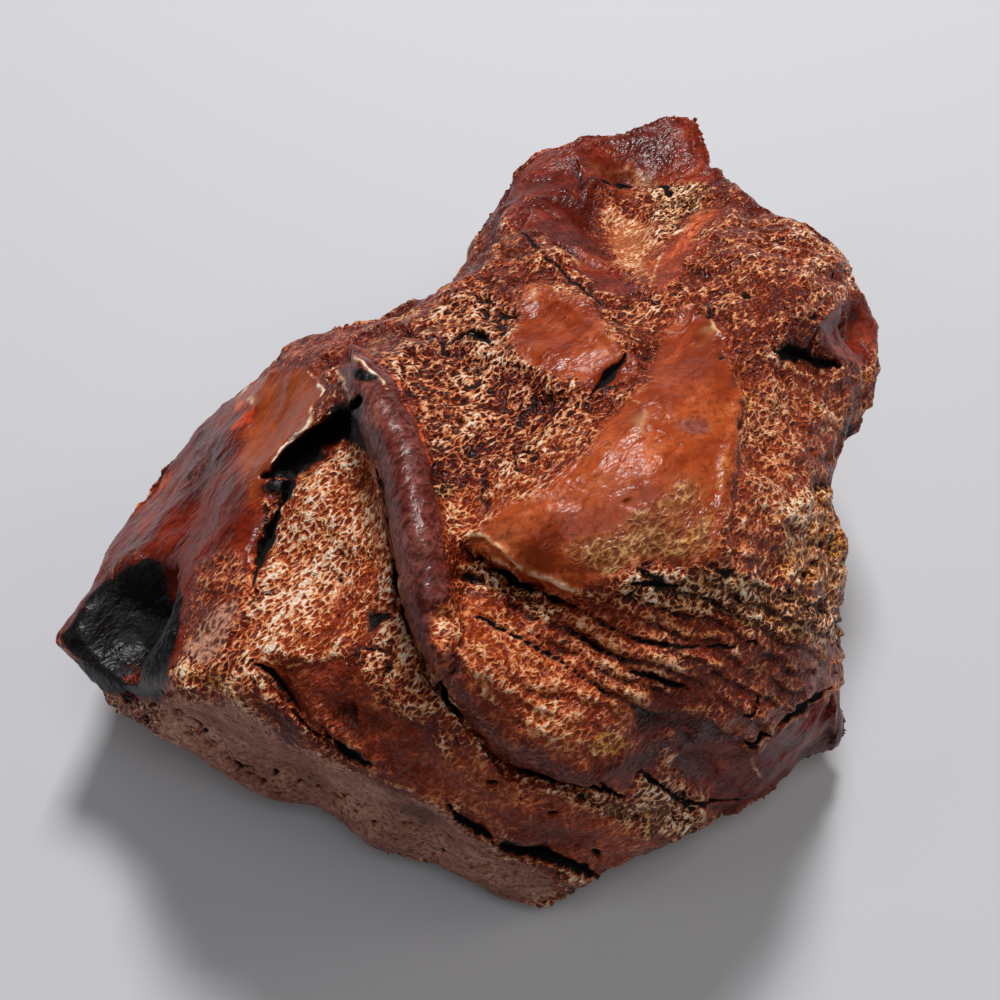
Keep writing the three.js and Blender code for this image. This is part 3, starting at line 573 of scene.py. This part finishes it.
def shapeStone(stone):
    mesh = stone.data
    base = pointsOf(mesh)
    picture, towards, uneven, has, cover = survey(base, normalsOf(mesh))
    waver = np.stack([swells(base, 2.6, seed, 3) for seed in (31, 32)], axis=1)
    slight = picture + borders["cracks"] * waver
    narrow = 0.55 * ramp(swells(base, 3.2, 30, 2), -0.5, 0.5)  # cracks nearly close here and there
    split = []
    for crack in cracks:
        mark = stroke(slight, crack["at"], 1.5 * crack["width"] * pixelsPerMm)
        split.append(towards ** 0.5 * np.clip((mark - narrow) / (1 - narrow), 0, 1))
    cracked = ramp(np.maximum.reduce(split), 0.0, 0.35)
    rested = ramp(base[:, 2], stoneForm["rested"], 0.4)
    weight = rested * (1 - 0.9 * cracked) * (0.75 - 0.35 * has["grit"])
    points = averaged(mesh, base, stoneForm["rounds"], weight)
    movePoints(mesh, points)
    normals = normalsOf(mesh)
    print("facets rounded")

    # rough lumps and grains, which are drawn out along one way
    grit = has["grit"] * (1 - cracked)
    high, size = stoneForm["swell"]
    rise = high * (0.25 + 0.75 * grit) * swells(points, size, 23, 3)
    along = np.array([0.7, 0.7, 0.14])
    drawnOut = points - 0.45 * (points @ along)[:, None] * along
    high, size = stoneForm["crumb"]
    rise += high * grit * (swells(drawnOut, size, 24, 3) + 0.3 * crests(drawnOut, 1.3, 27))
    high, size = stoneForm["ripple"]
    rise += high * swells(points, size, 29, 2)

    # ledges
    stepped = towards * np.maximum.reduce([share * cover[name] for name, share in ledgeShares.items()])
    rise += stoneForm["ledge"] * stepped * ledges(points, uneven, stoneForm["ledgeRun"])

    # pits with a slight rim, flatter than wide
    deep, size = stoneForm["pit"]
    near, _, owner = scatter(points * (1, 1, 1.8) + 0.5 * swells(points, 2, 33)[:, None], size, 34)
    pitted = np.maximum.reduce([0.45 * cover["wall"] * ramp(points[:, 2], 16, 5), 0.9 * cover["rindNet"],
                                0.35 * has["rind"] * (1 - towards), 0.15 * cover["frontStrip"]])
    pits = np.where(owner < pitted, 1 - ramp(near, 0.25, 0.95), 0)
    rim = np.where(owner < pitted, ramp(near, 0.5, 0.95) * (1 - ramp(near, 0.95, 1.5)), 0)
    rise += stoneForm["rim"] * rim - deep * pits

    # chips
    chipped = np.maximum.reduce([share * cover[name] for name, share in chipShares.items()]
                                + [0.8 * (1 - towards)])
    bent = points + 1.5 * np.stack([swells(points, 6, seed, 2) for seed in (51, 52, 53)], axis=1)
    for deep, size in stoneForm["chips"]:
        near, _, _ = scatter(bent, size, 54 + int(size), 1.1)
        rise += deep * chipped * (np.minimum(near / size, 1) ** 2 * 2 - 0.7)

    # creases, which open and close along their way
    deep, size = stoneForm["crease"]
    astray = points + 2 * np.stack([swells(points, 4, seed, 3) for seed in (35, 56, 57)], axis=1)
    _, beyond, _ = scatter(astray, size, 36)
    gaping = ramp(swells(points, 5, 58, 2), -0.1, 0.35) * (0.75 + 0.25 * (1 - towards))
    creased = gaping * (1 - ramp(beyond, 0.0, 0.9)) * ramp(grit, 0.45, 0.9)
    rise -= deep * creased
    high, size = stoneForm["hidden"]
    rise += high * (1 - towards) * has["grit"] * crests(points, size, 37, 2)

    # what the picture shows one by one
    for rib in ribs:
        rise += rib["lift"] * towards * np.sqrt(stroke(slight, rib["at"], rib["width"], 0.7))
    for *place, depth in dishes:
        rise -= depth * towards * oval(slight, *place)
    # each hole's inside is also painted nearly black, as shade
    for *place, depth in holes:
        hole = towards * ramp(oval(slight, *place), 0.1, 0.9)
        rise -= depth * hole
        has["open"] = np.maximum(has["open"], hole)
    for edge in edges:
        mark = towards * stroke(slight, edge["at"], edge["width"])
        rise += edge["lift"] * mark
        broken = ramp(mark, 0.05, 0.5) * ramp(swells(points, 2.2, 38, 2), -0.75, -0.15)
        for quality in ("creamAndHighlight", "ember"):
            has[quality] = np.maximum(has[quality], edge.get(quality, 0) * broken)
    moved = points + normals * (rise * rested)[:, None]
    for crack, mark in zip(cracks, split):
        moved += (crack["depth"] * rested * mark ** 0.7)[:, None] * sight
    lifted = np.maximum(moved[:, 2], stoneForm["clearance"])
    moved[:, 2] = np.where(base[:, 2] < stoneForm["rested"], base[:, 2], lifted)
    movePoints(mesh, moved)

    # painted shade: the insides of cracks, holes, pits and creases are marked to be painted nearly black
    has["open"] = np.maximum.reduce([has["open"], ramp(cracked, 0.3, 0.9), 0.9 * ramp(pits, 0.4, 0.9),
                                     0.8 * ramp(creased, 0.35, 0.8)])
    has["grit"] = grit
    # painted shade: how hollow each point lies, which darkens crevices and keeps them from turning cream
    has["hollow"] = hollowness(mesh, moved)
    for name, value in has.items():
        layer = mesh.attributes.new(name, "FLOAT", "POINT")
        layer.data.foreach_set("value", np.clip(value, 0, 1).astype(np.float32))


# From 0 on crests to 1 in crevices, 0.5 where the surface is flat
def hollowness(mesh, points):
    inward = ((averaged(mesh, points, 7) - points) * normalsOf(mesh)).sum(axis=1)
    return np.clip(0.5 + 1.5 * inward, 0, 1)


# Fewer triangles where the surface is plain, so that the fine ground can keep its own
def thinOut(stone):
    bpy.ops.object.mode_set(mode="EDIT")
    bpy.ops.mesh.select_all(action="SELECT")
    bpy.ops.mesh.quads_convert_to_tris()
    bpy.ops.object.mode_set(mode="OBJECT")
    thin = stone.modifiers.new("thin out", "DECIMATE")
    thin.ratio = min(1, stoneForm["most"] / len(stone.data.polygons))
    bpy.ops.object.modifier_apply(modifier=thin.name)


stone = makeFineStone()
print("fine skin:", len(stone.data.vertices), "points")
shapeStone(stone)
print("stone shaped")
thinOut(stone)
print("stone thinned to", len(stone.data.polygons), "triangles")


# Colours are sRGB hex values
def colour(hexValue):
    parts = [int(hexValue[n:n + 2], 16) / 255 for n in (1, 3, 5)]
    return [p / 12.92 if p <= 0.04045 else ((p + 0.055) / 1.055) ** 2.4 for p in parts] + [1]


# One node: the links and values of its inputs, the stops of its colour ramp and its other settings
def addNode(tree, kind, inputs=(), stops=(), **settings):
    node = tree.nodes.new(kind)
    for name, value in settings.items():
        setattr(node, name, value)
    for name, value in dict(inputs).items():
        if isinstance(value, bpy.types.NodeSocket):
            tree.links.new(value, node.inputs[name])
        else:
            node.inputs[name].default_value = value
    for n, (at, shade) in enumerate(stops):
        stop = node.color_ramp.elements[n] if n < 2 else node.color_ramp.elements.new(at)
        stop.position = at
        stop.color = colour(shade)
    return node


def perMetre(size):  # a pattern's scale, from the real size of one of its lumps in mm
    return 1000 / size


jasperLook = {
    "grain": 0.52,      # mm, from one grain of the crumbly ground to the next
    "curl": 0.7,        # mm, how far the crests of the grains wander
    "skin": 1.3,        # mm, dimples of the smooth faces
    "mottle": 2.8,      # mm, clouds of colour
    "bed": 9,           # mm, broad changes of shade
    "slant": 45,        # degrees, the way that the patterns are drawn out
    "drawnOut": (1.7, 1, 1.2),
    # how high the grains are: less away from the net's crests, more on crumbs, less in hollows, where this
    # is painted shade
    "netShare": -2.2,
    "crumbShare": 1.3,
    "hollowShare": -0.6,
    # grains turn cream by their height, by the clouds and by how pale their ground is
    "cloudShare": 2.2,
    "paleShare": 0.32,
    "creamFrom": 1.42,
    "creamTo": 1.93,
    "grainBump": 0.28,  # mm
    "skinBump": 0.5,    # mm
    "lustre": (0.22, 0.4),  # roughness of broken faces, from the wettest spots to the dullest
    "duller": (("rind", 0.25), ("blackStoneAndShade", 0.1), ("open", 0.7)),  # added roughness
    "refraction": 1.54,  # of quartz
    "shine": 0.22,      # strength of the reflection, low so that faces seen aslant stay red
    # painted shade: near-black for crevices, cracks and holes, and also for dark stone
    "shadeAndStoneBlack": "#080303",
    "coldPoresAndShade": "#1c0402",
    "warmPoresAndShade": "#7d280b",
    "oxblood": ((0.34, "#260202"), (0.46, "#510903"), (0.56, "#7a1707"), (0.68, "#a63a1c")),
    "brick": ((0.34, "#631605"), (0.46, "#963511"), (0.56, "#b95424"), (0.68, "#d6804a")),
    # the cream's near-white top is partly painted highlight on the grain crests
    "cream": ((0.1, "#ab3a14"), (0.45, "#de8449"), (0.75, "#f6c792"), (0.98, "#fff0dc")),
    "stains": {
        "mauve": ((0.34, "#2c0a08"), (0.5, "#612620"), (0.66, "#99584c")),
        "olive": ((0.34, "#3c1e0b"), (0.5, "#8f6233"), (0.66, "#e4bd84")),
        "ember": ((0.34, "#7d1702"), (0.5, "#c24113"), (0.66, "#ef8a4a")),
        "ochre": ((0.34, "#8f430a"), (0.5, "#d98e2e"), (0.66, "#f8ca6c")),
        "rind": ((0.34, "#6a382a"), (0.5, "#ac7662"), (0.66, "#d8ab94")),
    },
}


# Jasper: opaque microcrystalline quartz, broken and left natural. Iron oxides colour it red to ochre.
# Low roughness gives broken faces their wet, waxy to glassy lustre, and the pitted rind is duller.
# Its colour also carries painted shade in crevices, cracks and holes, and some painted highlights
def makeJasper():
    look = jasperLook
    material = bpy.data.materials.new("brokenJasper")
    material.use_nodes = True
    tree = material.node_tree
    tree.nodes.clear()
    place = addNode(tree, "ShaderNodeTexCoord").outputs["Object"]
    has = {name: addNode(tree, "ShaderNodeAttribute", attribute_name=name).outputs["Fac"]
           for name in (*common, "hollow")}
    # grains lie aslant on the rough ground, so their pattern is drawn out along that way
    slanted = addNode(tree, "ShaderNodeMapping", {
        "Vector": place, "Rotation": (0, 0, math.radians(look["slant"])), "Scale": look["drawnOut"]},
        vector_type="TEXTURE").outputs[0]
    patterns = {}
    for name, size, detail, roughness, distortion in (
            ("bed", look["bed"], 6, 0.6, 0.6), ("mottle", look["mottle"], 6, 0.65, 0.4),
            ("crumb", look["grain"] / 1.2, 2, 0.5, 0.3), ("skin", look["skin"], 1.5, 0.5, 0.5)):
        patterns[name] = addNode(tree, "ShaderNodeTexNoise", {
            "Vector": slanted, "Scale": perMetre(size), "Detail": detail, "Roughness": roughness,
            "Distortion": distortion}).outputs["Fac"]

    # a net of thin curled crests round small pores, strong on rough ground and faint on smooth
    curl = addNode(tree, "ShaderNodeTexNoise", {"Vector": slanted, "Scale": perMetre(look["grain"]),
                                                "Detail": 2}).outputs["Color"]
    curled = addNode(tree, "ShaderNodeVectorMath", {0: curl, 1: (look["curl"] / 1000,) * 3, 2: slanted},
                     operation="MULTIPLY_ADD").outputs[0]
    net = addNode(tree, "ShaderNodeTexVoronoi", {"Vector": curled, "Scale": perMetre(look["grain"])},
                  feature="DISTANCE_TO_EDGE").outputs["Distance"]
    crest = addNode(tree, "ShaderNodeMath", {0: net, 1: look["netShare"]}, operation="MULTIPLY").outputs[0]
    grain = addNode(tree, "ShaderNodeMath", {0: patterns["crumb"], 1: look["crumbShare"], 2: crest},
                    operation="MULTIPLY_ADD").outputs[0]
    raised = addNode(tree, "ShaderNodeMath", {0: has["hollow"], 1: look["hollowShare"], 2: grain},
                     operation="MULTIPLY_ADD").outputs[0]

    # the ground: broad beds and clouds, from oxblood to brick
    cloud = addNode(tree, "ShaderNodeMix", {0: 0.5, 2: patterns["bed"], 3: patterns["mottle"]}).outputs[0]
    deep = addNode(tree, "ShaderNodeValToRGB", {"Fac": cloud}, look["oxblood"]).outputs["Color"]
    light = addNode(tree, "ShaderNodeValToRGB", {"Fac": cloud}, look["brick"]).outputs["Color"]
    shade = addNode(tree, "ShaderNodeMix", {0: has["warm"], 6: deep, 7: light},
                    data_type="RGBA").outputs[2]
    tone = addNode(tree, "ShaderNodeMix", {0: has["grit"], 2: cloud, 3: grain}).outputs[0]

    # stains, whose edges break up along the clouds
    for name, stops in look["stains"].items():
        patch = addNode(tree, "ShaderNodeMath", {0: patterns["mottle"], 1: has[name]}).outputs[0]
        share = addNode(tree, "ShaderNodeMapRange", {"Value": patch, "From Min": 0.78, "From Max": 1.12},
                        interpolation_type="SMOOTHSTEP").outputs[0]
        stain = addNode(tree, "ShaderNodeValToRGB", {"Fac": tone}, stops).outputs["Color"]
        shade = addNode(tree, "ShaderNodeMix", {0: share, 6: shade, 7: stain},
                        data_type="RGBA").outputs[2]

    # rough ground is dark between its grains and cream on them, smooth ground only turns paler; in hollows
    # this darkening and the lack of cream are painted shade
    crumbly = addNode(tree, "ShaderNodeMapRange", {"Value": has["grit"], "From Min": 0.15,
                                                   "From Max": 0.7}).outputs[0]
    valley = addNode(tree, "ShaderNodeMapRange", {"Value": raised, "From Min": 0.12, "From Max": -0.2},
                     interpolation_type="SMOOTHSTEP").outputs[0]
    pores = addNode(tree, "ShaderNodeMapRange", {"Value": patterns["crumb"], "From Min": 0.5,
                                                 "From Max": 0.3, "To Max": 0.75}).outputs[0]
    dark = addNode(tree, "ShaderNodeMix", {0: crumbly, 2: pores, 3: valley}).outputs[0]
    depth = addNode(tree, "ShaderNodeMix", {0: has["warm"], 6: colour(look["coldPoresAndShade"]),
                                            7: colour(look["warmPoresAndShade"])}, data_type="RGBA").outputs[2]
    shade = addNode(tree, "ShaderNodeMix", {0: dark, 6: shade, 7: depth}, data_type="RGBA").outputs[2]
    patchy = addNode(tree, "ShaderNodeMath", {0: cloud, 1: look["cloudShare"], 2: raised},
                     operation="MULTIPLY_ADD").outputs[0]
    over = addNode(tree, "ShaderNodeMath", {0: has["creamAndHighlight"], 1: look["paleShare"], 2: patchy},
                   operation="MULTIPLY_ADD").outputs[0]
    lifted = addNode(tree, "ShaderNodeMapRange", {"Value": over, "From Min": look["creamFrom"],
                                                  "From Max": look["creamTo"]}).outputs[0]
    cap = addNode(tree, "ShaderNodeMapRange", {"Value": lifted, "From Min": 0.0, "From Max": 0.35},
                  interpolation_type="SMOOTHSTEP").outputs[0]
    soft = addNode(tree, "ShaderNodeMath", {0: has["creamAndHighlight"], 1: has["creamAndHighlight"]},
                   operation="MULTIPLY").outputs[0]
    capped = addNode(tree, "ShaderNodeMix", {0: crumbly, 2: soft, 3: cap}).outputs[0]
    paleness = addNode(tree, "ShaderNodeMix", {0: crumbly, 2: has["creamAndHighlight"], 3: lifted}).outputs[0]
    cream = addNode(tree, "ShaderNodeValToRGB", {"Fac": paleness}, look["cream"]).outputs["Color"]
    tinted = addNode(tree, "ShaderNodeMix", {0: 0.25, 6: cream, 7: shade}, data_type="RGBA").outputs[2]
    shade = addNode(tree, "ShaderNodeMix", {0: capped, 6: shade, 7: tinted}, data_type="RGBA").outputs[2]

    # painted shade: crevices, the inside of cracks, holes, pits and creases, the cleft, the hollow tip, the
    # underside of the tip and the shaded sides are painted nearly black, and some of the near-black patches
    # are dark stone
    for name, low, high in (("hollow", 0.6, 0.95), ("blackStoneAndShade", 0.35, 0.75), ("open", 0.2, 0.7)):
        share = addNode(tree, "ShaderNodeMapRange", {"Value": has[name], "From Min": low, "From Max": high},
                        interpolation_type="SMOOTHSTEP").outputs[0]
        shade = addNode(tree, "ShaderNodeMix", {0: share, 6: shade, 7: colour(look["shadeAndStoneBlack"])},
                        data_type="RGBA").outputs[2]

    # relief and lustre
    sharp = addNode(tree, "ShaderNodeMapRange", {"Value": crumbly, "To Min": 0.12}).outputs[0]
    height = addNode(tree, "ShaderNodeMath", {0: grain, 1: sharp}, operation="MULTIPLY").outputs[0]
    grains = addNode(tree, "ShaderNodeBump", {"Strength": 0.8, "Distance": look["grainBump"] / 1000,
                                              "Height": height}).outputs[0]
    skin = addNode(tree, "ShaderNodeBump", {"Strength": 0.6, "Distance": look["skinBump"] / 1000,
                                            "Height": patterns["skin"], "Normal": grains}).outputs[0]
    wettest, dullest = look["lustre"]
    dull = addNode(tree, "ShaderNodeMapRange", {
        "Value": patterns["mottle"], "From Min": 0.35, "From Max": 0.65, "To Min": wettest,
        "To Max": dullest}).outputs[0]
    for name, more in look["duller"]:
        dull = addNode(tree, "ShaderNodeMath", {0: has[name], 1: more, 2: dull}, operation="MULTIPLY_ADD",
                       use_clamp=True).outputs[0]
    shader = addNode(tree, "ShaderNodeBsdfPrincipled", {
        "Base Color": shade, "Roughness": dull, "IOR": look["refraction"],
        "Specular IOR Level": look["shine"], "Metallic": 0.0, "Normal": skin}).outputs["BSDF"]
    addNode(tree, "ShaderNodeOutputMaterial", {"Surface": shader})
    return material


stone.data.materials.clear()
stone.data.materials.append(makeJasper())
bpy.ops.object.shade_smooth()
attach(stone, "root")
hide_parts("jasper")
print("jasper material on")


# Floor and soft studio light
studio = {
    "floorSize": 4,            # m
    "floorShade": "#c0c0c4",
    "floorRoughness": 0.8,
    "lampAim": (0, 0, 0.02),   # m, the place the lamps point at
    "worldShade": "#eef1f6",
    "worldStrength": 0.06,
    # each lamp: place in m, size in m, power in W, shade
    "lamps": [
        ((0.02, 0.33, 0.51), 0.13, 3.5, "#ffffff"),
        ((0.10, -0.15, 0.62), 0.40, 1.0, "#ffffff"),
        ((-0.45, -0.10, 0.35), 0.15, 0.25, "#f4f8ff"),
        ((0.45, 0.05, 0.35), 0.15, 0.3, "#fff4e6"),
    ],
}


def makeFloor():
    bpy.ops.mesh.primitive_plane_add(size=studio["floorSize"])
    floor = bpy.context.object
    floor.name = "floor"
    # pale board, whose high roughness keeps it matte
    material = bpy.data.materials.new("matteBackdrop")
    material.use_nodes = True
    shader = material.node_tree.nodes["Principled BSDF"]
    shader.inputs["Base Color"].default_value = colour(studio["floorShade"])
    shader.inputs["Roughness"].default_value = studio["floorRoughness"]
    floor.data.materials.append(material)


def makeLight():
    target = Vector(studio["lampAim"])
    for place, size, power, shade in studio["lamps"]:
        bpy.ops.object.light_add(type="AREA", location=place)
        lamp = bpy.context.object
        lamp.data.size = size
        lamp.data.energy = power
        lamp.data.color = colour(shade)[:3]
        lamp.rotation_euler = (lamp.location - target).to_track_quat("Z", "Y").to_euler()
    world = bpy.data.worlds.new("softTent")
    bpy.context.scene.world = world
    world.use_nodes = True
    sky = world.node_tree.nodes["Background"]
    sky.inputs["Color"].default_value = colour(studio["worldShade"])
    sky.inputs["Strength"].default_value = studio["worldStrength"]
    bpy.context.scene.view_settings.view_transform = "Standard"  # keeps the stone's reds deep


makeFloor()
makeLight()
print("studio lit")
